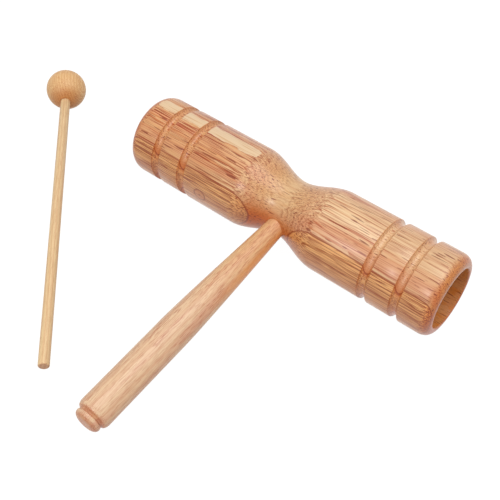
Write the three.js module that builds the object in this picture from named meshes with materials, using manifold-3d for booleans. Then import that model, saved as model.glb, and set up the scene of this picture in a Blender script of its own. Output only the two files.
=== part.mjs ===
import * as THREE from 'three';
import { mergeVertices } from 'three/addons/utils/BufferGeometryUtils.js';
import Module from 'manifold-3d';

// A wooden tone block with its beater. Lengths are in millimetres and +Z is up.
// The block's bore runs along X and its handle points towards -Y. The grip end of the handle
// rests on the table, and so do the beater's ball and the butt of its stick.
// The origin is on the table, under the middle of the whole set.

// Resonator body, outside
const bodyLength = 202;
const barrelRadius = 23.5;
const waistRadius = 16.4;
const waistLength = 56.4;
const rimRoundAlong = 6;
const rimFlat = 0.6;

// Tone chambers, bored in from the two ends to different depths
const boreRadius = 17.2;
const boreEdgeRadius = 0.8;
const leftChamberDepth = 60;
const rightChamberDepth = 74;

// Turned grooves, two near each end
const grooveWidth = 5.2;
const grooveDepth = 2.2;
const outerGrooveFromEnd = 20.3;
const grooveSpacing = 19.2;

// Handle: it is set a little to the right of the waist's middle, and distances along it are
// measured from the bore's axis
const handleOffset = 1.3;
const neckRadius = 5.65;
const gripRadius = 9;
const taperBend = 84;
const taperEnd = 100;
const gripEnd = 157.4;
const shoulderLength = 3.4;
const shoulderEndRadius = 7.7;
const beadGap = 1.2;
const beadRadius = 7.2;
const beadLength = 3.7;
const beadFrontRound = 0.8;
const beadCrownAlong = 2.6;
const beadCrownAcross = 3.6;
const tenonPastAxis = 4;
const tenonChamfer = 0.8;

// Beater
const headRadius = 12.5;
const stickRadius = 3;
const beaterReach = 209;
const stickChamfer = 0.5;
const stickInHead = 10;
const headX = -183.4;
const headY = 2.3;
const beaterHeadingDegrees = 43.2;

// Running room round each glued tenon, for the glue
const glueRoom = 0.3;
const cutOverrun = 1;

// Points of a profile that lie nearer than this are one point
const samePoint = 0.0001;

// Surface finish, from 0 for a mirror to 1 for chalk
const lacquerRoughness = 0.38;
const handleRoughness = 0.42;
const bareWoodRoughness = 0.55;

// Facets
const bodySegments = 48;
const handleSegments = 32;
const headSegments = 32;
const stickSegments = 24;
const waistSteps = 16;
const taperSteps = 10;
const headSteps = 18;
const roundSteps = 5;
const lipSteps = 3;
const grooveSteps = 6;

const halfTurn = Math.PI;
const quarterTurn = halfTurn / 2;

const wasm = await Module();
wasm.setup();

// Points of a quarter ellipse, or of part of one, as [radius, station] pairs
function arcPoints(centreRadius, centreStation, acrossRadius, alongRadius, from, to, steps) {
  const points = [];
  for (let step = 0; step <= steps; step += 1) {
    const angle = from + (to - from) * step / steps;
    const radius = centreRadius + acrossRadius * Math.cos(angle);
    const station = centreStation + alongRadius * Math.sin(angle);
    points.push([radius, station]);
  }
  return points;
}

// A smooth swell from one radius to another, as half a cosine wave
function swellPoints(fromStation, fromRadius, toStation, toRadius, steps) {
  const points = [];
  for (let step = 0; step <= steps; step += 1) {
    const share = step / steps;
    const rise = (1 - Math.cos(halfTurn * share)) / 2;
    const station = fromStation + (toStation - fromStation) * share;
    points.push([fromRadius + (toRadius - fromRadius) * rise, station]);
  }
  return points;
}

// Neighbouring curves can share an end point, which the profile holds once
function withoutRepeats(points) {
  const same = (a, b) => Math.hypot(a[0] - b[0], a[1] - b[1]) < samePoint;
  return points.filter((point, index) => index === 0 || !same(point, points[index - 1]));
}

// Turns a profile of [radius, station] pairs, station rising, about the local Y axis
function turned(points, segments) {
  const profile = withoutRepeats(points).map(([radius, station]) => new THREE.Vector2(radius, station));
  return new THREE.LatheGeometry(profile, segments);
}

function toManifold(geometry) {
  const bare = geometry.clone();
  bare.deleteAttribute('normal');
  bare.deleteAttribute('uv');
  const merged = mergeVertices(bare);
  const vertProperties = new Float32Array(merged.attributes.position.array);
  const triVerts = new Uint32Array(merged.index.array);
  return new wasm.Manifold(new wasm.Mesh({ numProp: 3, vertProperties, triVerts }));
}

function toGeometry(manifold) {
  const mesh = manifold.getMesh();
  const geometry = new THREE.BufferGeometry();
  geometry.setAttribute('position', new THREE.BufferAttribute(mesh.vertProperties, 3));
  geometry.setIndex(new THREE.BufferAttribute(mesh.triVerts, 1));
  geometry.computeVertexNormals();
  return geometry;
}

function wood(color, roughness) {
  return new THREE.MeshStandardMaterial({ color, roughness, metalness: 0 });
}

function piece(name, geometry, material) {
  const mesh = new THREE.Mesh(geometry, material);
  mesh.name = name;
  return mesh;
}

// A groove is an arc of a circle, as a round scraper leaves it
function groovePoints(station) {
  const scraperRadius = (grooveWidth ** 2 / 4 + grooveDepth ** 2) / (2 * grooveDepth);
  const reach = Math.asin(grooveWidth / 2 / scraperRadius);
  const centreRadius = barrelRadius - grooveDepth + scraperRadius;
  return arcPoints(centreRadius, station, -scraperRadius, scraperRadius, -reach, reach, grooveSteps);
}

// Half of the body's outside, from the middle of the waist to the rim's flat
function bodyOutside() {
  const halfLength = bodyLength / 2;
  const rimRoundAcross = barrelRadius - rimFlat - boreEdgeRadius - boreRadius;
  const points = swellPoints(0, waistRadius, waistLength / 2, barrelRadius, waistSteps);
  points.push(...groovePoints(halfLength - outerGrooveFromEnd - grooveSpacing));
  points.push(...groovePoints(halfLength - outerGrooveFromEnd));
  const rim = arcPoints(
    barrelRadius - rimRoundAcross,
    halfLength - rimRoundAlong,
    rimRoundAcross,
    rimRoundAlong,
    0,
    quarterTurn,
    roundSteps,
  );
  return [...points, ...rim];
}

// One chamber, from the rim's flat over the rounded lip and down to the floor's centre
function chamberInside(depth) {
  const halfLength = bodyLength / 2;
  const lip = arcPoints(
    boreRadius + boreEdgeRadius,
    halfLength - boreEdgeRadius,
    boreEdgeRadius,
    boreEdgeRadius,
    quarterTurn,
    halfTurn,
    lipSteps,
  );
  return [...lip, [boreRadius, halfLength - depth], [0, halfLength - depth]];
}

const mirrored = (points) => points.map(([radius, station]) => [radius, -station]).reverse();

function bodyBlank() {
  const outside = bodyOutside();
  const profile = [
    ...mirrored(chamberInside(leftChamberDepth)),
    ...mirrored(outside),
    ...outside,
    ...chamberInside(rightChamberDepth),
  ];
  return turned(profile, bodySegments).rotateZ(-quarterTurn);
}

// Handle profile, from the tenon's inner end to the tip of the end bead
function handleProfile() {
  const beadStart = gripEnd + beadGap;
  const beadEnd = beadStart + beadLength;
  const gapRadius = beadRadius - beadFrontRound;
  const crownRadius = beadRadius - beadCrownAcross;
  const taper = new THREE.QuadraticBezierCurve(
    new THREE.Vector2(neckRadius, waistRadius),
    new THREE.Vector2(gripRadius, taperBend),
    new THREE.Vector2(gripRadius, taperEnd),
  );
  const shoulder = arcPoints(
    shoulderEndRadius,
    gripEnd - shoulderLength,
    gripRadius - shoulderEndRadius,
    shoulderLength,
    0,
    quarterTurn,
    roundSteps,
  );
  const beadFront = arcPoints(
    gapRadius,
    beadStart + beadFrontRound,
    beadFrontRound,
    beadFrontRound,
    -quarterTurn,
    0,
    lipSteps,
  );
  const beadCrown = arcPoints(
    crownRadius,
    beadEnd - beadCrownAlong,
    beadCrownAcross,
    beadCrownAlong,
    0,
    quarterTurn,
    roundSteps,
  );
  return [
    [0, -tenonPastAxis],
    [neckRadius - tenonChamfer, -tenonPastAxis],
    [neckRadius, -tenonPastAxis + tenonChamfer],
    ...taper.getPoints(taperSteps).map(({ x, y }) => [x, y]),
    ...shoulder,
    ...beadFront,
    ...beadCrown,
    [0, beadEnd],
  ];
}

// How far the handle drops towards the table before its profile touches it
function restTilt(profile) {
  const outside = profile.filter(([, station]) => station > barrelRadius);
  const tilts = outside.map(([radius, station]) => {
    const reach = Math.hypot(station, radius);
    return Math.atan2(station, radius) - Math.acos(barrelRadius / reach);
  });
  return Math.min(...tilts);
}

function handleSocket() {
  const radius = neckRadius + glueRoom;
  const depth = barrelRadius + tenonPastAxis + glueRoom + cutOverrun;
  return new THREE.CylinderGeometry(radius, radius, depth, handleSegments)
    .translate(0, depth / 2 - tenonPastAxis - glueRoom, 0);
}

// Turns a piece that was turned about local Y so that it points to -Y and down by the tilt
function pointed(geometry, tilt) {
  return geometry.rotateX(halfTurn + tilt);
}

function headProfile() {
  const socketRadius = stickRadius + glueRoom;
  const mouthAngle = Math.acos(socketRadius / headRadius);
  const socketFloor = headRadius * Math.sin(mouthAngle) - stickInHead - glueRoom;
  return [
    ...arcPoints(0, 0, headRadius, headRadius, -quarterTurn, mouthAngle, headSteps),
    [socketRadius, socketFloor],
    [0, socketFloor],
  ];
}

function stickProfile() {
  const mouthStation = Math.sqrt(headRadius ** 2 - (stickRadius + glueRoom) ** 2);
  const start = mouthStation - stickInHead;
  return [
    [0, start],
    [stickRadius - stickChamfer, start],
    [stickRadius, start + stickChamfer],
    [stickRadius, beaterReach - stickChamfer],
    [stickRadius - stickChamfer, beaterReach],
    [0, beaterReach],
  ];
}

function block() {
  const profile = handleProfile();
  const tilt = restTilt(profile);
  const socket = pointed(handleSocket(), tilt).translate(handleOffset, 0, 0);
  const body = toGeometry(toManifold(bodyBlank()).subtract(toManifold(socket)));
  const group = new THREE.Group();
  const handleSolid = pointed(turned(profile, handleSegments), tilt);
  const handle = piece('handle', handleSolid, wood('#dcb28c', handleRoughness));
  handle.position.x = handleOffset;
  group.add(piece('resonator_body', body, wood('#d29a66', lacquerRoughness)), handle);
  group.position.set(0, 0, barrelRadius);
  return group;
}

function beater() {
  const tilt = Math.asin((headRadius - stickRadius) / beaterReach);
  const head = pointed(turned(headProfile(), headSegments), tilt);
  const stick = pointed(turned(stickProfile(), stickSegments), tilt);
  const group = new THREE.Group();
  group.add(piece('beater_head', head, wood('#dcb887', bareWoodRoughness)));
  group.add(piece('beater_stick', stick, wood('#e0be8f', bareWoodRoughness)));
  group.rotation.z = THREE.MathUtils.degToRad(beaterHeadingDegrees);
  group.position.set(headX, headY, headRadius);
  return group;
}

// The whole set, moved so that the origin is on the table under its middle
const toneBlockSet = new THREE.Group();
toneBlockSet.add(block(), beater());
const bounds = new THREE.Box3().setFromObject(toneBlockSet, true);
const middle = bounds.getCenter(new THREE.Vector3());
toneBlockSet.position.set(-middle.x, -middle.y, -bounds.min.z);

export default toneBlockSet;
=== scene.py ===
import math
from types import SimpleNamespace
import bpy
from mathutils import Matrix, Vector


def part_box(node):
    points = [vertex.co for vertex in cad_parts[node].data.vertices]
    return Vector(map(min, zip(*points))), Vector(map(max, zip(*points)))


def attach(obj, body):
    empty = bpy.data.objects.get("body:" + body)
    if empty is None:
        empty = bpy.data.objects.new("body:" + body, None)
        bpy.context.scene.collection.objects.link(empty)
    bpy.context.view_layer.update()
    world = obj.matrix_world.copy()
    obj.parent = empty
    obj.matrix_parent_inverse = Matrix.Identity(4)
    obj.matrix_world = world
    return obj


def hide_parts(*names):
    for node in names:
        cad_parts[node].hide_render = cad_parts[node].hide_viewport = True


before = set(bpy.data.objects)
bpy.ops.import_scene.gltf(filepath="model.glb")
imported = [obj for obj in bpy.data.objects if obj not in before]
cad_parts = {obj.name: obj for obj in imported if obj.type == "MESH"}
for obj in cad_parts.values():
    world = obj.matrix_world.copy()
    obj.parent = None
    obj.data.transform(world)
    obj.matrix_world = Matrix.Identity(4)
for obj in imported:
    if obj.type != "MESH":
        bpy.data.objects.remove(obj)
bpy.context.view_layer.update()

# Everything is in metres and radians, apart from the patterns in the woods and the lens,
# which are in millimetres.
MM = 0.001
QUARTER = math.pi / 2
WORLD_X = Vector((1, 0, 0))

# Places and main sizes, from the frame
body_low, body_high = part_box("resonator_body")
handle_low, handle_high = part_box("handle")
head_low, head_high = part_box("beater_head")
body_length = body_high.x - body_low.x
barrel_radius = (body_high.z - body_low.z) / 2
waist_middle = (body_low + body_high) / 2
grip_radius = (handle_high.x - handle_low.x) / 2
handle_foot = Vector(((handle_low.x + handle_high.x) / 2, waist_middle.y, waist_middle.z))
ball_centre = (head_low + head_high) / 2

# Resonator body
waist_radius = 16.4 * MM
waist_length = 56.4 * MM
rim_round_along = 6 * MM
rim_flat = 0.6 * MM
bore_radius = 17.2 * MM
bore_edge_round = 0.8 * MM
left_chamber_depth = 60 * MM
right_chamber_depth = 74 * MM
groove_width = 5.2 * MM
groove_depth = 2.2 * MM
outer_groove_from_end = 20.3 * MM
groove_spacing = 19.2 * MM

# Handle
neck_radius = 5.65 * MM
taper_bend = 84 * MM
taper_end = 100 * MM
grip_end = 157.4 * MM
shoulder_length = 3.4 * MM
shoulder_end_radius = 7.7 * MM
bead_gap = 1.2 * MM
bead_radius = 7.2 * MM
bead_length = 3.7 * MM
bead_front_round = 0.8 * MM
bead_crown_along = 2.6 * MM
bead_crown_across = 3.6 * MM
tenon_past_axis = 4 * MM
tenon_chamfer = 0.8 * MM

# Beater
ball_radius = 12.5 * MM
dowel_radius = 3 * MM
beater_reach = 209 * MM
dowel_chamfer = 0.5 * MM
dowel_in_ball = 10 * MM
beater_heading = math.radians(43.2)

# Fits and edges that only the finished look needs
glue_film = 0.06 * MM
edge_softness = 0.22 * MM
edge_segments = 2
sharp_edge = math.radians(35)
merge_distance = 0.001 * MM

# Facets
body_steps = 144
handle_steps = 96
ball_steps = 96
dowel_steps = 48
arc_steps = 10
lip_steps = 5
ball_arc_steps = 48
swell_steps = 44


# Outlines: lists of (radius, station) pairs, with the station measured along the piece

def arc(centre_radius, centre_station, across, along, start, end, steps=arc_steps):
    """Part of an ellipse."""
    points = []
    for step in range(steps + 1):
        angle = start + (end - start) * step / steps
        radius = centre_radius + across * math.cos(angle)
        points.append((radius, centre_station + along * math.sin(angle)))
    return points


def swell(start, start_radius, end, end_radius):
    """A smooth change of radius, as half a cosine wave."""
    points = []
    for step in range(swell_steps + 1):
        share = step / swell_steps
        rise = (1 - math.cos(math.pi * share)) / 2
        points.append((start_radius + (end_radius - start_radius) * rise, start + (end - start) * share))
    return points


def mirrored(points):
    return [(radius, -station) for radius, station in reversed(points)]


def groove(station):
    """An arc of a circle, as a round scraper leaves it."""
    scraper = (groove_width ** 2 / 4 + groove_depth ** 2) / (2 * groove_depth)
    reach = math.asin(groove_width / 2 / scraper)
    return arc(barrel_radius - groove_depth + scraper, station, -scraper, scraper, -reach, reach)


def body_outside():
    """Half of the body's outside, from the middle of the waist to the rim's flat."""
    half = body_length / 2
    points = swell(0, waist_radius, waist_length / 2, barrel_radius)
    points += groove(half - outer_groove_from_end - groove_spacing)
    points += groove(half - outer_groove_from_end)
    flat_radius = bore_radius + bore_edge_round + rim_flat
    rounding = barrel_radius - flat_radius
    points += arc(flat_radius, half - rim_round_along, rounding, rim_round_along, 0, QUARTER)
    return points


def chamber(depth):
    """One chamber, from the rim's flat over the rounded lip to the middle of its floor."""
    half = body_length / 2
    edge = bore_edge_round
    lip = arc(bore_radius + edge, half - edge, edge, edge, QUARTER, math.pi, lip_steps)
    return [*lip, (bore_radius, half - depth), (0, half - depth)]


def body_outline():
    outside = body_outside()
    left = mirrored(chamber(left_chamber_depth)) + mirrored(outside)
    return left + outside + chamber(right_chamber_depth)


def handle_outline():
    """The whole handle, from the tenon's inner end to the tip of the end bead."""
    bead_start = grip_end + bead_gap
    bead_end = bead_start + bead_length
    points = [(0, -tenon_past_axis), (neck_radius - tenon_chamfer, -tenon_past_axis)]
    points.append((neck_radius, tenon_chamfer - tenon_past_axis))
    for step in range(swell_steps + 1):
        share = step / swell_steps
        first, second, third = (1 - share) ** 2, 2 * share * (1 - share), share ** 2
        radius = first * neck_radius + (second + third) * grip_radius
        points.append((radius, first * waist_radius + second * taper_bend + third * taper_end))
    rounding = grip_radius - shoulder_end_radius
    points += arc(shoulder_end_radius, grip_end - shoulder_length, rounding, shoulder_length, 0, QUARTER)
    front = bead_front_round
    points += arc(bead_radius - front, bead_start + front, front, front, -QUARTER, 0, lip_steps)
    crown = bead_radius - bead_crown_across
    points += arc(crown, bead_end - bead_crown_along, bead_crown_across, bead_crown_along, 0, QUARTER)
    return points + [(0, bead_end)]


def ball_outline():
    """The ball, open at the socket that the dowel is glued into."""
    socket = dowel_radius + glue_film
    mouth = math.acos(socket / ball_radius)
    floor = ball_radius * math.sin(mouth) - dowel_in_ball - glue_film
    outside = arc(0, 0, ball_radius, ball_radius, -QUARTER, mouth, ball_arc_steps)
    return outside + [(socket, floor), (0, floor)]


def dowel_outline():
    start = math.sqrt(ball_radius ** 2 - dowel_radius ** 2) - dowel_in_ball
    narrow = dowel_radius - dowel_chamfer
    return [
        (0, start),
        (narrow, start),
        (dowel_radius, start + dowel_chamfer),
        (dowel_radius, beater_reach - dowel_chamfer),
        (narrow, beater_reach),
        (0, beater_reach),
    ]


def rest_tilt(outline):
    """How far the handle drops before its outline touches the table."""
    tilts = []
    for radius, station in outline:
        if station > barrel_radius:
            reach = math.hypot(station, radius)
            tilts.append(math.atan2(station, radius) - math.acos(barrel_radius / reach))
    return min(tilts)


# Directions that the turned pieces point in
handle_tilt = rest_tilt(handle_outline())
handle_along = Vector((0, -math.cos(handle_tilt), -math.sin(handle_tilt)))
beater_tilt = math.asin((ball_radius - dowel_radius) / beater_reach)
beater_along = Vector((
    math.sin(beater_heading) * math.cos(beater_tilt),
    -math.cos(beater_heading) * math.cos(beater_tilt),
    -math.sin(beater_tilt),
))


# Modelling

def turned_piece(name, outline, foot, along, steps):
    """Draws the outline beside its axis from one point and spins it round."""
    across = along.orthogonal().normalized()
    places = [foot + along * station + across * radius for radius, station in outline]
    bpy.ops.object.select_all(action="DESELECT")
    bpy.ops.mesh.primitive_plane_add(size=merge_distance, location=places[0])
    piece = bpy.context.object
    piece.name = name
    piece.data.name = name
    bpy.ops.object.mode_set(mode="EDIT")
    bpy.ops.mesh.select_all(action="SELECT")
    bpy.ops.mesh.merge(type="CENTER")
    for here, there in zip(places, places[1:]):
        bpy.ops.mesh.extrude_region_move(TRANSFORM_OT_translate={"value": there - here})
    bpy.ops.mesh.select_all(action="SELECT")
    bpy.ops.mesh.spin(steps=steps, angle=2 * math.pi, center=foot, axis=along)
    bpy.ops.mesh.select_all(action="SELECT")
    bpy.ops.mesh.remove_doubles(threshold=merge_distance)
    bpy.ops.mesh.normals_make_consistent(inside=False)
    bpy.ops.object.mode_set(mode="OBJECT")
    bpy.ops.object.transform_apply(location=True, rotation=True, scale=True)
    return piece


def soften_edges(piece):
    """Takes the sharp edge off the grooves, shoulders and ends, as sanding does."""
    bevel = piece.modifiers.new("sanded_edges", "BEVEL")
    bevel.width = edge_softness
    bevel.segments = edge_segments
    bevel.limit_method = "ANGLE"
    bevel.angle_limit = sharp_edge
    bpy.ops.object.modifier_apply(modifier=bevel.name)
    bpy.ops.object.shade_smooth_by_angle(angle=sharp_edge)


def drill(piece, radius, start, along, depth):
    """Drills a round hole from the start point, along the given direction."""
    bpy.ops.object.select_all(action="DESELECT")
    middle = start + along * depth / 2
    turn = along.to_track_quat("Z", "Y").to_euler()
    bpy.ops.mesh.primitive_cylinder_add(
        vertices=handle_steps, radius=radius, depth=depth, location=middle, rotation=turn
    )
    bit = bpy.context.object
    hole = piece.modifiers.new("drilled_hole", "BOOLEAN")
    hole.operation = "DIFFERENCE"
    hole.solver = "EXACT"
    hole.object = bit
    bpy.context.view_layer.objects.active = piece
    bpy.ops.object.modifier_apply(modifier=hole.name)
    bpy.data.objects.remove(bit)


def make_body():
    body = turned_piece("turned_body", body_outline(), waist_middle, WORLD_X, body_steps)
    soften_edges(body)
    socket_end = handle_foot - handle_along * (tenon_past_axis + glue_film)
    depth = barrel_radius + tenon_past_axis + glue_film
    drill(body, neck_radius + glue_film, socket_end, handle_along, depth)
    return body


def make_handle():
    handle = turned_piece("turned_handle", handle_outline(), handle_foot, handle_along, handle_steps)
    soften_edges(handle)
    return handle


def make_ball():
    ball = turned_piece("beater_ball", ball_outline(), ball_centre, beater_along, ball_steps)
    soften_edges(ball)
    return ball


def make_dowel():
    dowel = turned_piece("beater_dowel", dowel_outline(), ball_centre, beater_along, dowel_steps)
    soften_edges(dowel)
    return dowel


# Node helpers

mottle_middle = 0.5
ring_wander_length = 70
ring_wander_width = 11


def colour(hex_code):
    """A colour as it is written on screen, made linear by the sRGB curve."""
    parts = [int(hex_code[place:place + 2], 16) / 255 for place in (0, 2, 4)]
    linear = [part / 12.92 if part <= 0.04045 else ((part + 0.055) / 1.055) ** 2.4 for part in parts]
    return (*linear, 1)


def node(tree, kind, inputs=None, **settings):
    """Adds a node. An input is another node's socket, or a plain value."""
    made = tree.nodes.new(kind)
    for name, value in settings.items():
        setattr(made, name, value)
    for name, value in (inputs or {}).items():
        if isinstance(value, bpy.types.NodeSocket):
            tree.links.new(value, made.inputs[name])
        else:
            made.inputs[name].default_value = value
    return made


def maths(tree, operation, first, second=0.0):
    return node(tree, "ShaderNodeMath", {0: first, 1: second}, operation=operation).outputs[0]


def vector_maths(tree, operation, first, second, result="Vector"):
    inputs = {0: first, 1: second}
    return node(tree, "ShaderNodeVectorMath", inputs, operation=operation).outputs[result]


def fade(tree, value, low, high, from_amount=0.0, to_amount=1.0):
    """Goes smoothly from one amount to the other as the value goes from low to high."""
    inputs = {
        "Value": value,
        "From Min": low,
        "From Max": high,
        "To Min": from_amount,
        "To Max": to_amount,
    }
    return node(tree, "ShaderNodeMapRange", inputs, interpolation_type="SMOOTHSTEP").outputs["Result"]


def ranged(tree, amount, outside, inside):
    """One amount outside a zone, and another inside it."""
    return fade(tree, amount, 0, 1, outside, inside)


def both(tree, *amounts):
    """The product of several amounts."""
    total = amounts[0]
    for amount in amounts[1:]:
        total = maths(tree, "MULTIPLY", total, amount)
    return total


def rest_of(tree, amount):
    """What an amount leaves of one."""
    return maths(tree, "SUBTRACT", 1.0, amount)


def tint(tree, amount, under, over, strength=1.0, kind="MIX"):
    """Lays one colour over another by an amount, which is full at the given strength."""
    made = node(tree, "ShaderNodeMix", data_type="RGBA", blend_type=kind, clamp_factor=True)
    for place, value in ((0, both(tree, amount, strength)), (6, under), (7, over)):
        if isinstance(value, bpy.types.NodeSocket):
            tree.links.new(value, made.inputs[place])
        else:
            made.inputs[place].default_value = value
    return made.outputs[2]


def grain_space(tree, foot, along):
    """Millimetres from the piece's foot, with X along its grain."""
    turn = along.rotation_difference(WORLD_X)
    scale = 1 / MM
    inputs = {
        "Vector": node(tree, "ShaderNodeTexCoord").outputs["Object"],
        "Location": -(turn @ (foot * scale)),
        "Rotation": turn.to_euler(),
        "Scale": (scale, scale, scale),
    }
    return node(tree, "ShaderNodeMapping", inputs, vector_type="POINT").outputs["Vector"]


def distance_from(tree, grain, centre, weights=(0, 1, 1)):
    """Distance from a centre. As the weights stand, it is from a line along the grain."""
    offset = vector_maths(tree, "SUBTRACT", grain, centre)
    weighed = vector_maths(tree, "MULTIPLY", offset, weights)
    return vector_maths(tree, "LENGTH", weighed, (0, 0, 0), "Value")


def reach_along(tree, vector, direction):
    """How far a vector reaches in a direction."""
    return vector_maths(tree, "DOT_PRODUCT", vector, direction, "Value")


def across_grain(tree, along):
    """0 where the surface runs with the grain and 1 on bare end grain."""
    normal = node(tree, "ShaderNodeTexCoord").outputs["Normal"]
    return maths(tree, "ABSOLUTE", reach_along(tree, normal, along))


def mottle(tree, grain, length, width, shift=0.0, detail=2.0):
    """Soft noise, from 0 to 1 with its middle at a half, of features of this length and width."""
    drawn_out = {
        "Vector": grain,
        "Location": (shift, shift, shift),
        "Scale": (1 / length, 1 / width, 1 / width),
    }
    inputs = {
        "Vector": node(tree, "ShaderNodeMapping", drawn_out).outputs["Vector"],
        "Scale": 1.0,
        "Detail": detail,
    }
    return node(tree, "ShaderNodeTexNoise", inputs).outputs["Fac"]


def lines(tree, grain, length, width, least, most, shift=0.0, detail=1.0):
    """Lines along the grain, where the mottle rises from one value to the other."""
    return fade(tree, mottle(tree, grain, length, width, shift, detail), least, most)


def wander(tree, grain, length, width, reach, shift=0.0):
    """A slow drift to both sides of zero, over this reach at the most."""
    drift = maths(tree, "SUBTRACT", mottle(tree, grain, length, width, shift), mottle_middle)
    return both(tree, drift, reach)


def growth_rings(tree, grain, pith, spacing, reach, shift=0.0):
    """From 0 at the start of each year's ring to 1 at its end, round a pith at (y, z) that wanders."""
    drift = wander(tree, grain, ring_wander_length, ring_wander_width, reach, shift)
    distance = maths(tree, "ADD", distance_from(tree, grain, (0, *pith)), drift)
    return maths(tree, "FRACT", maths(tree, "DIVIDE", distance, spacing))


def finish_wood(name, coat, coat_roughness):
    """An empty wood material. Returns it with its tree and its shader."""
    material = bpy.data.materials.new(name)
    material.use_nodes = True
    tree = material.node_tree
    tree.nodes.clear()
    shader = node(tree, "ShaderNodeBsdfPrincipled")
    shader.inputs["Coat Weight"].default_value = coat
    shader.inputs["Coat Roughness"].default_value = coat_roughness
    node(tree, "ShaderNodeOutputMaterial", {"Surface": shader.outputs[0]})
    return material, tree, shader


def add_relief(tree, shader, hills, dips, depth, strength):
    height = maths(tree, "SUBTRACT", hills, dips)
    inputs = {"Height": height, "Distance": depth, "Strength": strength}
    bump = node(tree, "ShaderNodeBump", inputs)
    tree.links.new(bump.outputs["Normal"], shader.inputs["Normal"])


# Finishes

# A pair of numbers says where something begins and where it is full. In a pattern, length, width,
# spacing and reach are millimetres, and least and most are values of the mottle.

# Body: its boards, from the waist's middle
facing_board_left = -20.1
facing_board_right = -18.9
facing_board_step = (-8, 8)
facing_board_lean = -0.013
facing_board_edge = (0.05, -0.05)
capping_board_at = 23.21
capping_board_turn = math.radians(5.8)
capping_board_edge = (-0.03, 0.03)
capping_board_ragged = {"length": 9, "width": 1.2, "reach": 0.55, "shift": 6.6}
glue_line = (0.32, 0.08)

# Body: stretches along it, from the waist's middle
halves_meet = (4, -4)
inside_chambers = (26, 26.5)
grooves_start = (55, 56)
grooves_end = (90, 89)
rim_stretch = (93, 99)
flank_stretch = (28, 22)
left_warmth = (6, -60)
right_end = (50, 80)
lines_weaken = (-10, 90)
ticks_weaken = (40, 90)

# Body: depths below the barrel's surface, depths behind the bore's wall, and heights
swell_depths = (6.1, 0.5)
groove_depths = (0.15, 0.6)
pore_depths = (0, 0.4)
underside_shade_depths = (3.5, 0)
bore_skin = (0.7, 0.2)
underside_shade_heights = (14, 1)
facing_shade_heights = (7, -4)

# Body: slopes of the surface across the grain, from 0 along it to 1 on end grain
lines_stop_slopes = (0.1, 0.3)
pores_open_slopes = (0, 0.25)
flank_slopes = (0.08, 0.2)
soaked_slopes = (0.05, 0.7)

# Body: what the barrel's bands and lines keep of their strength in the waist
waist_share = 0.25

# Main board: each red band has its place across the board, its reach and its strength
left_bands = ((-17, 2.8, 0.35), (-7.5, 3.6, 0.3))
right_bands = ((-15.8, 4.2, 0.6), (-11.5, 1.2, 0.3), (12, 7, 0.35))
band_core_share = 0.2
band_wander = {"length": 60, "width": 9, "reach": 6, "shift": 3.1}
calm_stripe_at = -15
calm_stripe_reach = (6, 3)
main_rings = {"pith": (60, -46), "spacing": 1.8, "reach": 6}
late_wood_shares = (0.4, 1.0)
ring_line_shares = (0.7, 0.97)
ring_line_pieces = {"length": 40, "width": 1.3, "least": 0.4, "most": 0.6, "shift": 2.2, "detail": 2.0}
streak_clusters = {"length": 70, "width": 7, "least": 0.4, "most": 0.6, "shift": 7.7, "detail": 2.0}
wide_streaks = {"length": 55, "width": 1.5, "least": 0.52, "most": 0.62, "shift": 1.3}
long_streaks = {"length": 44, "width": 0.56, "least": 0.56, "most": 0.62, "shift": 4.4}
dark_ticks = {"length": 22, "width": 0.42, "least": 0.58, "most": 0.63, "shift": 9.1, "detail": 0.0}
bold_lines = {"length": 30, "width": 0.5, "least": 0.57, "most": 0.61, "shift": 12.3}
open_pores = {"length": 2.4, "width": 0.42, "least": 0.55, "most": 0.62, "shift": 3.3, "detail": 0.0}
deep_gashes = {"length": 11, "width": 0.8, "least": 0.71, "most": 0.74, "shift": 5.5, "detail": 0.0}
flow_rings = {"pith": (60, -46), "spacing": 0.95, "reach": 5, "shift": 5.0}
flow_line_shares = (0.5, 0.95)
flow_line_pieces = {"length": 9, "width": 2, "least": 0.4, "most": 0.6, "shift": 2.4, "detail": 2.0}
early_wood_colour = colour("EDC99C")
late_wood_colour = colour("E4B682")
left_wood_colour = colour("E0A66E")
right_end_colour = colour("DCB084")
red_band_colour = colour("D88C62")
ring_line_colour = colour("B04800")
wide_streak_colour = colour("D07020")
long_streak_colour = colour("AE3C00")
dark_tick_colour = colour("A03400")
bold_line_colour = colour("983600")
# Deep orange for the painted shade on the body's underside
underside_shade_colour = colour("D46C02")
open_pore_colour = colour("9C5008")
flow_line_colour = colour("A04C10")
gash_colour = colour("842C00")

# Facing board and its knot
knot_at = (-46.7, 0, -1.2)
knot_weights = (0.92, 0, 1)
knot_inside = (4.1, 3.6)
knot_edge_outside = (4.3, 3.8)
knot_edge_inside = (2.8, 3.4)
knot_eye = (1.0, 0.4)
facing_rings = {"pith": (-40, -240), "spacing": 1.1, "reach": 12, "shift": 4.0}
facing_line_shares = (0.5, 0.95)
facing_line_pieces = {"length": 24, "width": 1.6, "least": 0.42, "most": 0.6, "shift": 6.0, "detail": 2.0}
facing_fine_lines = {"length": 26, "width": 0.5, "least": 0.5, "most": 0.62, "shift": 2.9}
facing_fine_share = 0.9
facing_wood_colour = colour("F2B676")
facing_line_colour = colour("8C2E00")
# Darker colour for the painted shade on the facing board's lower part
facing_shade_colour = colour("C47A50")
facing_tick_colour = colour("A03C00")
knot_colour = colour("C07448")
knot_line_colour = colour("8E3A10")

# Capping board
capping_flecks = {"length": 22, "width": 0.7, "least": 0.5, "most": 0.7, "shift": 8.0}
capping_splits = {"length": 7, "width": 0.6, "least": 0.54, "most": 0.58, "shift": 15.0, "detail": 0.0}
splits_along = (-44, -34)
splits_across = (-1, -4)
capping_wood_colour = colour("EACAA2")
capping_fleck_colour = colour("D9AC7C")
capping_split_colour = colour("7A3A10")

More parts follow.
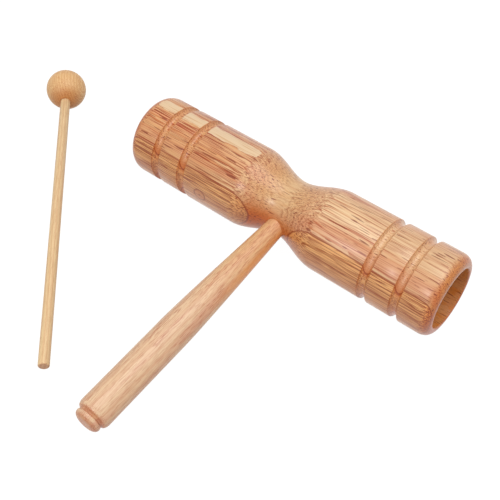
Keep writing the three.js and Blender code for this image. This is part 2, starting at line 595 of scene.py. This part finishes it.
# Body: where the finish soaks in, and its lacquer
bore_spots = {"length": 7, "width": 4, "least": 0.5, "most": 0.66, "shift": 1.7, "detail": 2.0}
stain_behind_facing = (3.5, 0)
stain_in_facing = (-1.5, 0)
waist_colour = colour("F0E6D4")
soaked_colour = colour("EAA63C")
bore_colour = colour("FFC458")
bore_spot_colour = colour("D87A18")
groove_stain_colour = colour("CC6C2C")
glue_colour = colour("943A10")
body_coat = 0.75
body_coat_roughness = 0.3
body_specular_level = 0.1
body_patches = {"length": 10, "width": 2}
body_smoothest = 0.32
body_roughest = 0.46
bore_extra_roughness = 0.25
body_hills = {"length": 14, "width": 1.6, "shift": 2.0}
body_hill_share = 0.35
streak_dip_share = 0.7
body_relief = 0.05 * MM


def body_zones(tree, grain):
    """Where a point lies on the body, and how far it is inside each zone."""
    place = node(tree, "ShaderNodeSeparateXYZ", {0: grain}).outputs
    radius = distance_from(tree, grain, (0, 0, 0))
    below_barrel = maths(tree, "SUBTRACT", barrel_radius / MM, radius)
    behind_bore = maths(tree, "SUBTRACT", radius, bore_radius / MM)
    from_middle = maths(tree, "ABSOLUTE", place["X"])
    end_grain = across_grain(tree, WORLD_X)
    left = fade(tree, place["X"], *halves_meet)
    on_barrel = fade(tree, below_barrel, *swell_depths, from_amount=waist_share)
    between_ends = both(tree, fade(tree, from_middle, *grooves_start), fade(tree, from_middle, *grooves_end))
    from_calm = maths(tree, "ABSOLUTE", maths(tree, "SUBTRACT", place["Y"], calm_stripe_at))
    calm = both(tree, fade(tree, from_calm, *calm_stripe_reach), left)
    return SimpleNamespace(
        x=place["X"],
        y=place["Y"],
        z=place["Z"],
        below_barrel=below_barrel,
        from_middle=from_middle,
        end_grain=end_grain,
        left=left,
        right=rest_of(tree, left),
        on_barrel=on_barrel,
        in_bore=both(tree, fade(tree, behind_bore, *bore_skin), fade(tree, from_middle, *inside_chambers)),
        in_groove=both(tree, fade(tree, below_barrel, *groove_depths), between_ends),
        with_grain=both(
            tree,
            fade(tree, end_grain, *lines_stop_slopes, from_amount=1.0, to_amount=0.3),
            on_barrel,
            ranged(tree, calm, outside=1.0, inside=0.55),
        ),
    )


def board_faces(tree, grain, zone):
    """How far a point is behind the facing board, and how far it is inside the capping board."""
    lean = maths(tree, "MULTIPLY", maths(tree, "MAXIMUM", zone.x, 0.0), facing_board_lean)
    face = fade(tree, zone.x, *facing_board_step, facing_board_left, facing_board_right)
    behind_facing = maths(tree, "SUBTRACT", zone.y, maths(tree, "ADD", face, lean))
    cap_normal = (0, math.sin(capping_board_turn), math.cos(capping_board_turn))
    above_cap = maths(tree, "SUBTRACT", reach_along(tree, grain, cap_normal), capping_board_at)
    above_cap = maths(tree, "ADD", above_cap, wander(tree, grain, **capping_board_ragged))
    return behind_facing, both(tree, fade(tree, above_cap, *capping_board_edge), zone.left)


def main_ground(tree, grain, zone, late_wood):
    """Pale on the right, redder on the left and in a few bands."""
    wood = tint(tree, late_wood, early_wood_colour, late_wood_colour, strength=0.4)
    wood = tint(tree, fade(tree, zone.x, *left_warmth), wood, left_wood_colour, strength=0.8)
    wood = tint(tree, fade(tree, zone.x, *right_end), wood, right_end_colour, strength=0.5)
    across = maths(tree, "ADD", zone.y, wander(tree, grain, **band_wander))
    for half, bands in ((zone.left, left_bands), (zone.right, right_bands)):
        for at, reach, strength in bands:
            off = maths(tree, "ABSOLUTE", maths(tree, "SUBTRACT", across, at))
            band = both(tree, fade(tree, off, reach, reach * band_core_share), half, zone.on_barrel)
            wood = tint(tree, band, wood, red_band_colour, strength)
    return wood


def main_board(tree, grain, zone, streaks, ticks):
    """Ring lines, reddish streaks in clusters, dark ticks, and painted shade towards the underside: a deep
    orange for the light that the lower side and the waist's underside lose, and for the orange light bounced
    onto them.
    """
    rings = growth_rings(tree, grain, **main_rings)
    late_wood = fade(tree, rings, *late_wood_shares)
    wood = main_ground(tree, grain, zone, late_wood)
    boldness = fade(tree, zone.x, *lines_weaken, from_amount=1.0, to_amount=0.3)
    ring_lines = both(tree, fade(tree, rings, *ring_line_shares), lines(tree, grain, **ring_line_pieces))
    ring_lines = both(tree, ring_lines, zone.with_grain, boldness)
    wood = tint(tree, ring_lines, wood, ring_line_colour, strength=0.95)
    clusters = lines(tree, grain, **streak_clusters)
    wide = both(tree, lines(tree, grain, **wide_streaks), zone.with_grain, boldness)
    wood = tint(tree, wide, wood, wide_streak_colour, ranged(tree, clusters, outside=0.1, inside=0.45))
    long = both(tree, streaks, boldness)
    wood = tint(tree, long, wood, long_streak_colour, ranged(tree, clusters, outside=0.6, inside=1.0))
    short = both(tree, ticks, fade(tree, zone.x, *ticks_weaken, from_amount=1.0, to_amount=0.65))
    wood = tint(tree, short, wood, dark_tick_colour, ranged(tree, late_wood, outside=0.5, inside=0.85))
    bold = both(tree, lines(tree, grain, **bold_lines), zone.left, zone.with_grain)
    wood = tint(tree, bold, wood, bold_line_colour, strength=0.8)
    # Painted shade: deep orange on the lower side, strongest under the waist, standing in for missing light
    # and orange bounce light.
    painted_underside_shade = both(
        tree,
        fade(tree, zone.z, *underside_shade_heights),
        fade(tree, zone.below_barrel, *underside_shade_depths, from_amount=1.0, to_amount=0.45),
        rest_of(tree, zone.in_bore),
    )
    return tint(tree, painted_underside_shade, wood, underside_shade_colour, ranged(tree, zone.left, outside=0.68, inside=0.95))


def cut_grain(tree, grain, zone, wood):
    """What turning opens up: pores on the slopes, flow lines on the right flank, and gashes."""
    pores = both(
        tree,
        lines(tree, grain, **open_pores),
        fade(tree, zone.end_grain, *pores_open_slopes, from_amount=0.4),
        fade(tree, zone.below_barrel, *pore_depths),
        ranged(tree, zone.in_groove, outside=1.0, inside=0.5),
    )
    wood = tint(tree, pores, wood, open_pore_colour, strength=0.45)
    flow = both(
        tree,
        fade(tree, growth_rings(tree, grain, **flow_rings), *flow_line_shares),
        lines(tree, grain, **flow_line_pieces),
        fade(tree, zone.end_grain, *flank_slopes),
        fade(tree, zone.from_middle, *flank_stretch),
        zone.right,
    )
    wood = tint(tree, flow, wood, flow_line_colour, strength=0.6)
    return tint(tree, lines(tree, grain, **deep_gashes), wood, gash_colour, strength=0.8)


def facing_board(tree, grain, zone, ticks):
    """Yellower, with straight fine lines, one small knot, and painted shade darkening its lower part."""
    from_knot = distance_from(tree, grain, knot_at, knot_weights)
    in_knot = fade(tree, from_knot, *knot_inside)
    edge = both(tree, fade(tree, from_knot, *knot_edge_outside), fade(tree, from_knot, *knot_edge_inside))
    knot_lines = maths(tree, "MAXIMUM", edge, fade(tree, from_knot, *knot_eye))
    straight = fade(tree, growth_rings(tree, grain, **facing_rings), *facing_line_shares)
    straight = both(tree, straight, lines(tree, grain, **facing_line_pieces))
    fine = both(tree, lines(tree, grain, **facing_fine_lines), facing_fine_share)
    grain_lines = both(tree, maths(tree, "MAXIMUM", straight, fine), rest_of(tree, in_knot))
    wood = tint(tree, grain_lines, facing_wood_colour, facing_line_colour, strength=0.92)
    # Painted shade: darker towards the bottom of the front face, where less light falls.
    wood = tint(tree, fade(tree, zone.z, *facing_shade_heights), wood, facing_shade_colour, strength=0.4)
    wood = tint(tree, in_knot, wood, knot_colour, strength=0.6)
    wood = tint(tree, knot_lines, wood, knot_line_colour, strength=0.7)
    return tint(tree, ticks, wood, facing_tick_colour, strength=0.6)


def capping_board(tree, grain, zone):
    """A pale sliver, flecked, with a few splits near its inner end."""
    wood = tint(tree, lines(tree, grain, **capping_flecks), capping_wood_colour, capping_fleck_colour)
    splits = both(
        tree,
        lines(tree, grain, **capping_splits),
        fade(tree, zone.x, *splits_along),
        fade(tree, zone.y, *splits_across),
    )
    return tint(tree, splits, wood, capping_split_colour)


def soak_in(tree, grain, zone, wood, behind_facing):
    """More finish in end grain, rims and bore, and a stain where the glue line crosses the grooves."""
    in_waist = fade(tree, zone.on_barrel, waist_share, 1.0, from_amount=1.0, to_amount=0.0)
    wood = tint(tree, in_waist, wood, waist_colour, strength=0.6, kind="MULTIPLY")
    on_slopes = fade(tree, zone.end_grain, *soaked_slopes, to_amount=0.6)
    on_rims = fade(tree, zone.from_middle, *rim_stretch, to_amount=0.2)
    soaked = maths(tree, "ADD", on_slopes, on_rims)
    less_in_grooves = ranged(tree, zone.in_groove, outside=1.0, inside=0.25)
    wood = tint(tree, soaked, wood, soaked_colour, less_in_grooves, kind="MULTIPLY")
    wood = tint(tree, zone.in_bore, wood, bore_colour, strength=0.55, kind="MULTIPLY")
    spots = both(tree, zone.in_bore, lines(tree, grain, **bore_spots))
    wood = tint(tree, spots, wood, bore_spot_colour, strength=0.6)
    stain = both(
        tree,
        zone.in_groove,
        fade(tree, behind_facing, *stain_behind_facing),
        fade(tree, behind_facing, *stain_in_facing),
    )
    wood = tint(tree, stain, wood, groove_stain_colour, strength=0.7)
    glue = fade(tree, maths(tree, "ABSOLUTE", behind_facing), *glue_line)
    return tint(tree, glue, wood, glue_colour, strength=0.8)


def body_wood():
    """Three boards of streaked orange-tan wood, glued up, turned and lacquered."""
    material, tree, shader = finish_wood("body_wood_lacquered", body_coat, body_coat_roughness)
    shader.inputs["Specular IOR Level"].default_value = body_specular_level
    grain = grain_space(tree, waist_middle, WORLD_X)
    zone = body_zones(tree, grain)
    streaks = both(tree, lines(tree, grain, **long_streaks), zone.with_grain)
    ticks = both(tree, lines(tree, grain, **dark_ticks), zone.on_barrel)
    behind_facing, capping = board_faces(tree, grain, zone)
    facing = fade(tree, behind_facing, *facing_board_edge)
    wood = cut_grain(tree, grain, zone, main_board(tree, grain, zone, streaks, ticks))
    wood = tint(tree, facing, wood, facing_board(tree, grain, zone, ticks))
    wood = tint(tree, capping, wood, capping_board(tree, grain, zone))
    wood = soak_in(tree, grain, zone, wood, behind_facing)
    tree.links.new(wood, shader.inputs["Base Color"])

    hills = both(tree, mottle(tree, grain, **body_hills), body_hill_share)
    dips = maths(tree, "MAXIMUM", both(tree, streaks, streak_dip_share), ticks)
    add_relief(tree, shader, hills, dips, body_relief, strength=0.2)
    rough = ranged(tree, mottle(tree, grain, **body_patches), body_smoothest, body_roughest)
    rough = maths(tree, "ADD", rough, both(tree, zone.in_bore, bore_extra_roughness))
    tree.links.new(rough, shader.inputs["Roughness"])
    return material


# Handle: distances from its foot, along it and towards its lower right side
handle_lower_right = (0, 0.88, -0.48)
blushed_side = (-7, -1)
shaded_side_reach = (1.0, 5.5)
neck_stretch = (95, 30)
handle_soaked_slopes = (0.3, 0.9)
handle_rings = {"pith": (-34, 21), "spacing": 3.6, "reach": 8, "shift": 1.0}
handle_late_wood_shares = (0.3, 1.0)
handle_blush = {"length": 50, "width": 5, "least": 0.4, "most": 0.62, "shift": 3.0, "detail": 2.0}
handle_fine_lines = {"length": 16, "width": 0.6, "least": 0.5, "most": 0.66, "shift": 5.0, "detail": 2.0}
handle_ticks = {"length": 5, "width": 0.32, "least": 0.56, "most": 0.62, "shift": 4.0, "detail": 0.0}
handle_end_dots = {"length": 0.9, "width": 0.55, "least": 0.56, "most": 0.64, "shift": 7.0}
handle_dots_soaked = (0, 0.4)
handle_pale_colour = colour("E9C59E")
handle_dark_colour = colour("DBAC87")
handle_blush_colour = colour("D89C80")
handle_fine_line_colour = colour("CB926C")
handle_tick_colour = colour("B4694C")
handle_side_shade_colour = colour("F2A864")
# Orange for the painted shade on the handle's lower right side
handle_neck_colour = colour("FFF3DA")
handle_end_colour = colour("E6B48A")
handle_coat = 0.12
handle_coat_roughness = 0.25
handle_roughness = 0.42
handle_hills = {"length": 12, "width": 1.2}
handle_hill_share = 0.4
handle_dip_share = 0.6
handle_relief = 0.1 * MM


def handle_wood():
    """Paler pinkish wood with short fine pores, warmer towards the neck, and painted shade in orange on its
    lower right side, strongest towards the neck.
    """
    material, tree, shader = finish_wood("handle_wood_lacquered", handle_coat, handle_coat_roughness)
    shader.inputs["Roughness"].default_value = handle_roughness
    grain = grain_space(tree, handle_foot, handle_along)
    along = node(tree, "ShaderNodeSeparateXYZ", {0: grain}).outputs["X"]
    side = reach_along(tree, grain, handle_lower_right)
    rings = growth_rings(tree, grain, **handle_rings)
    late_wood = fade(tree, rings, *handle_late_wood_shares)
    wood = tint(tree, late_wood, handle_pale_colour, handle_dark_colour, strength=0.7)
    blush = lines(tree, grain, **handle_blush)
    blush_on_side = both(tree, blush, fade(tree, side, *blushed_side))
    wood = tint(tree, blush_on_side, wood, handle_blush_colour, strength=0.6)
    wood = tint(tree, lines(tree, grain, **handle_fine_lines), wood, handle_fine_line_colour, strength=0.4)
    ticks = lines(tree, grain, **handle_ticks)
    wood = tint(tree, ticks, wood, handle_tick_colour, ranged(tree, blush, outside=0.3, inside=0.65))
    neck = fade(tree, along, *neck_stretch)
    # Painted shade: orange on the lower right side, turned away from the light, strongest near the neck.
    orange = fade(tree, side, *shaded_side_reach)
    wood = tint(tree, orange, wood, handle_side_shade_colour, ranged(tree, neck, outside=0.12, inside=0.9))
    wood = tint(tree, neck, wood, handle_neck_colour, kind="MULTIPLY")
    soaked = fade(tree, across_grain(tree, handle_along), *handle_soaked_slopes, to_amount=0.7)
    dots = both(tree, lines(tree, grain, **handle_end_dots), fade(tree, soaked, *handle_dots_soaked))
    wood = tint(tree, dots, wood, handle_tick_colour, strength=0.45)
    wood = tint(tree, soaked, wood, handle_end_colour, kind="MULTIPLY")
    tree.links.new(wood, shader.inputs["Base Color"])
    hills = both(tree, mottle(tree, grain, **handle_hills), handle_hill_share)
    dips = both(tree, ticks, handle_dip_share)
    add_relief(tree, shader, hills, dips, handle_relief, strength=0.45)
    return material


# Beater: what its two woods share
beater_ring_reach = 4.0
beater_ring_shift = 2.0
beater_late_wood_shares = (0.25, 0.95)
beater_ring_end_shares = (1.0, 0.95)
beater_fine_lines = {"length": 14, "width": 0.35, "least": 0.45, "most": 0.7, "shift": 1.0, "detail": 2.0}
beater_ticks = {"length": 6, "width": 0.4, "least": 0.58, "most": 0.66, "shift": 4.0, "detail": 0.0}
beater_end_dots = {"length": 0.9, "width": 0.6, "least": 0.54, "most": 0.66, "shift": 6.0}
beater_dot_slopes = (0.1, 0.6)
beater_soaked_slopes = (0.45, 1.0)
beater_coat = 0.0
beater_coat_roughness = 0.3
beater_hill_share = 0.5
beater_dip_share = 0.5
beater_relief = 0.08 * MM

# Beater: what sets them apart
ball_look = SimpleNamespace(
    pith=(60, 22),
    ring_spacing=1.6,
    pale=colour("EDC28A"),
    dark=colour("E0AC72"),
    ticks=colour("C0703C"),
    ends=colour("DCAC70"),
    roughness=0.5,
)
dowel_look = SimpleNamespace(
    pith=(-24, 9),
    ring_spacing=1.9,
    pale=colour("EDCD9C"),
    dark=colour("E0B688"),
    ticks=colour("C09264"),
    ends=colour("D8BCC0"),
    roughness=0.52,
)


def beater_wood(name, look):
    """Plain pale wood, smooth and nearly matt."""
    material, tree, shader = finish_wood(name, beater_coat, beater_coat_roughness)
    shader.inputs["Roughness"].default_value = look.roughness
    grain = grain_space(tree, ball_centre, beater_along)
    end_grain = across_grain(tree, beater_along)
    rings = growth_rings(tree, grain, look.pith, look.ring_spacing, beater_ring_reach, beater_ring_shift)
    late_wood = fade(tree, rings, *beater_late_wood_shares)
    late_wood = both(tree, late_wood, fade(tree, rings, *beater_ring_end_shares))
    wood = tint(tree, late_wood, look.pale, look.dark)
    fine = lines(tree, grain, **beater_fine_lines)
    wood = tint(tree, fine, wood, look.dark, strength=0.4)
    ticks = lines(tree, grain, **beater_ticks)
    wood = tint(tree, ticks, wood, look.ticks, strength=0.35)
    on_ends = fade(tree, end_grain, *beater_dot_slopes, from_amount=0.15, to_amount=0.6)
    wood = tint(tree, lines(tree, grain, **beater_end_dots), wood, look.ticks, on_ends)
    soaked = fade(tree, end_grain, *beater_soaked_slopes)
    wood = tint(tree, soaked, wood, look.ends, strength=0.8, kind="MULTIPLY")
    tree.links.new(wood, shader.inputs["Base Color"])
    hills = both(tree, fine, beater_hill_share)
    dips = both(tree, ticks, beater_dip_share)
    add_relief(tree, shader, hills, dips, beater_relief, strength=0.35)
    return material


def dress(piece, material, body, cad_node):
    """Gives a piece its wood, its body and its material slot, and puts it in place of a CAD node."""
    piece.data.materials.clear()
    piece.data.materials.append(material)
    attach(piece, body)
    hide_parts(cad_node)


dress(make_body(), body_wood(), "tone_block", "resonator_body")
dress(make_handle(), handle_wood(), "tone_block", "handle")
ball_wood = beater_wood("beater_ball_wood", ball_look)
dress(make_ball(), ball_wood, "beater", "beater_head")
dowel_wood = beater_wood("beater_dowel_wood", dowel_look)
dress(make_dowel(), dowel_wood, "beater", "beater_stick")


# Camera, as the photograph was taken
camera_azimuth = math.radians(38.01)
camera_elevation = math.radians(48.41)
camera_roll = math.radians(0.95)
camera_distance = 491.45 * MM
aim_from_waist = Vector((-11.12 * MM, -22.1 * MM, 0))
near_clip = 10 * MM
focal_length = 62.79
sensor_width = 36


def make_camera():
    data = bpy.data.cameras.new("camera")
    data.lens = focal_length
    data.sensor_width = sensor_width
    data.clip_start = near_clip
    camera = bpy.data.objects.new("camera", data)
    bpy.context.collection.objects.link(camera)
    back = Vector((
        math.sin(camera_azimuth) * math.cos(camera_elevation),
        -math.cos(camera_azimuth) * math.cos(camera_elevation),
        math.sin(camera_elevation),
    ))
    right = Vector((0, 0, 1)).cross(back).normalized()
    up = back.cross(right)
    rolled_right = right * math.cos(camera_roll) + up * math.sin(camera_roll)
    rolled_up = up * math.cos(camera_roll) - right * math.sin(camera_roll)
    aim = Vector((waist_middle.x, waist_middle.y, 0)) + aim_from_waist
    place = aim + back * camera_distance
    camera.matrix_world = Matrix((
        (rolled_right.x, rolled_up.x, back.x, place.x),
        (rolled_right.y, rolled_up.y, back.y, place.y),
        (rolled_right.z, rolled_up.z, back.z, place.z),
        (0, 0, 0, 1),
    ))
    bpy.context.scene.camera = camera


# Light and floor, with the lamps' power in watts and their places from the waist's middle
floor_size = 6.0
white = (1, 1, 1, 1)
sky_strength = 0.42
key_power = 2.6
key_size = 0.2
key_from = Vector((-0.06, -0.92, 0.64))
top_power = 11.0
top_size = 1.2
top_from = Vector((0.3, 0.05, 1.35))
floor_bounce = 0.6
floor_glow = 1.17
floor_glow_share = 0.84


def make_lamp(name, offset, size, power):
    data = bpy.data.lights.new(name, "AREA")
    data.energy = power
    data.shape = "DISK"
    data.size = size
    lamp = bpy.data.objects.new(name, data)
    bpy.context.collection.objects.link(lamp)
    lamp.location = waist_middle + offset
    lamp.rotation_mode = "QUATERNION"
    lamp.rotation_quaternion = (-offset).to_track_quat("-Z", "Y")


def sees_background(tree):
    """1 for rays from the camera, from a reflection or through glass, and 0 for the rest."""
    rays = node(tree, "ShaderNodeLightPath").outputs
    shown = maths(tree, "MAXIMUM", rays["Is Camera Ray"], rays["Is Glossy Ray"])
    return maths(tree, "MAXIMUM", shown, rays["Is Transmission Ray"])


def make_sky():
    """White where the background is seen, plain soft light otherwise."""
    world = bpy.data.worlds.new("studio")
    bpy.context.scene.world = world
    world.use_nodes = True
    tree = world.node_tree
    tree.nodes.clear()
    strength = maths(tree, "MAXIMUM", sees_background(tree), sky_strength)
    light = node(tree, "ShaderNodeBackground", {"Color": white, "Strength": strength})
    node(tree, "ShaderNodeOutputWorld", {"Surface": light.outputs[0]})


def make_floor():
    """Nearly white where it is seen, under the object's shadow, and a plain grey for other light."""
    bpy.ops.object.select_all(action="DESELECT")
    bpy.ops.mesh.primitive_plane_add(size=floor_size, location=(0, 0, 0))
    floor = bpy.context.object
    floor.name = "studio_floor"
    material = bpy.data.materials.new("studio_floor_white")
    material.use_nodes = True
    tree = material.node_tree
    tree.nodes.clear()
    diffuse = node(tree, "ShaderNodeBsdfDiffuse", {"Color": (floor_bounce, floor_bounce, floor_bounce, 1)})
    glow = node(tree, "ShaderNodeEmission", {"Color": white, "Strength": floor_glow})
    share = maths(tree, "MULTIPLY", sees_background(tree), floor_glow_share)
    mixed = node(tree, "ShaderNodeMixShader", {0: share, 1: diffuse.outputs[0], 2: glow.outputs[0]})
    node(tree, "ShaderNodeOutputMaterial", {"Surface": mixed.outputs[0]})
    floor.data.materials.append(material)


make_camera()
make_lamp("key", key_from, key_size, key_power)
make_lamp("overhead", top_from, top_size, top_power)
make_sky()
make_floor()
bpy.context.scene.view_settings.view_transform = "Standard"
